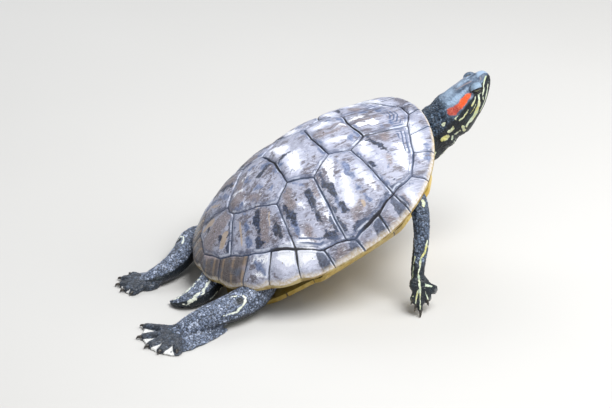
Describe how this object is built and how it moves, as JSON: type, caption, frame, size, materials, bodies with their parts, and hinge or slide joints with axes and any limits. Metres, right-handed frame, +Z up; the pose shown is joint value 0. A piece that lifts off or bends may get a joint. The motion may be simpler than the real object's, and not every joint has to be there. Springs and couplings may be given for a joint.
{
  "type": "turtle model",
  "caption": "Life-size still model of a red-eared slider turtle, shell tilted nose up, neck stretched, forelegs planted, hind legs and tail trailing on the floor.",
  "frame": {"origin": "middle of the small floor flat under the rear of the plastron", "axes": "+X towards the head, +Y to the animal's left, +Z up from the floor"},
  "size_m": [0.2951, 0.2, 0.1395],
  "materials": {
    "dry_shell": "dry horn with a pale lilac-grey bloom, slate blotches and fine growth lines",
    "wet_shell": "wet glossy dark brown horn with tan bars",
    "belly_shell": "satin mustard-yellow horn with dark blotches",
    "blue_skin": "damp blue-grey scaly skin with yellow stripes and a red stripe behind each eye",
    "dark_skin": "dark folded skin with yellow stripes",
    "eye_ball": "wet glossy green-black eye"
  },
  "bodies": {
    "root": {"nuchal": "dry_shell", "vertebral_1": "dry_shell", "vertebral_2": "dry_shell", "vertebral_3": "dry_shell", "vertebral_4": "dry_shell", "vertebral_5": "dry_shell", "pleural_1_left": "dry_shell", "pleural_1_right": "dry_shell", "pleural_2_left": "dry_shell", "pleural_2_right": "dry_shell", "pleural_3_left": "dry_shell", "pleural_3_right": "dry_shell", "pleural_4_left": "dry_shell", "pleural_4_right": "dry_shell", "marginal_1_left": "dry_shell", "marginal_1_right": "dry_shell", "marginal_2_left": "dry_shell", "marginal_2_right": "dry_shell", "marginal_3_left": "dry_shell", "marginal_3_right": "dry_shell", "marginal_4_left": "dry_shell", "marginal_4_right": "dry_shell", "marginal_5_left": "dry_shell", "marginal_5_right": "dry_shell", "marginal_6_left": "dry_shell", "marginal_6_right": "dry_shell", "marginal_7_left": "dry_shell", "marginal_7_right": "dry_shell", "marginal_8_left": "dry_shell", "marginal_8_right": "dry_shell", "marginal_9_left": "dry_shell", "marginal_9_right": "dry_shell", "marginal_10_left": "dry_shell", "marginal_10_right": "dry_shell", "marginal_11_left": "wet_shell", "marginal_11_right": "wet_shell", "marginal_12_left": "wet_shell", "marginal_12_right": "wet_shell", "plastron": "belly_shell", "trunk": "dark_skin", "head": "blue_skin", "lower_jaw": "blue_skin", "neck": "blue_skin", "tail": "blue_skin", "leg_fore_right": "blue_skin", "foot_fore_right": "blue_skin", "leg_fore_left": "blue_skin", "foot_fore_left": "blue_skin", "leg_hind_right": "blue_skin", "foot_hind_right": "blue_skin", "leg_hind_left": "blue_skin", "foot_hind_left": "blue_skin", "eye_left": "eye_ball", "eye_right": "eye_ball"}
  },
  "joints": []
}
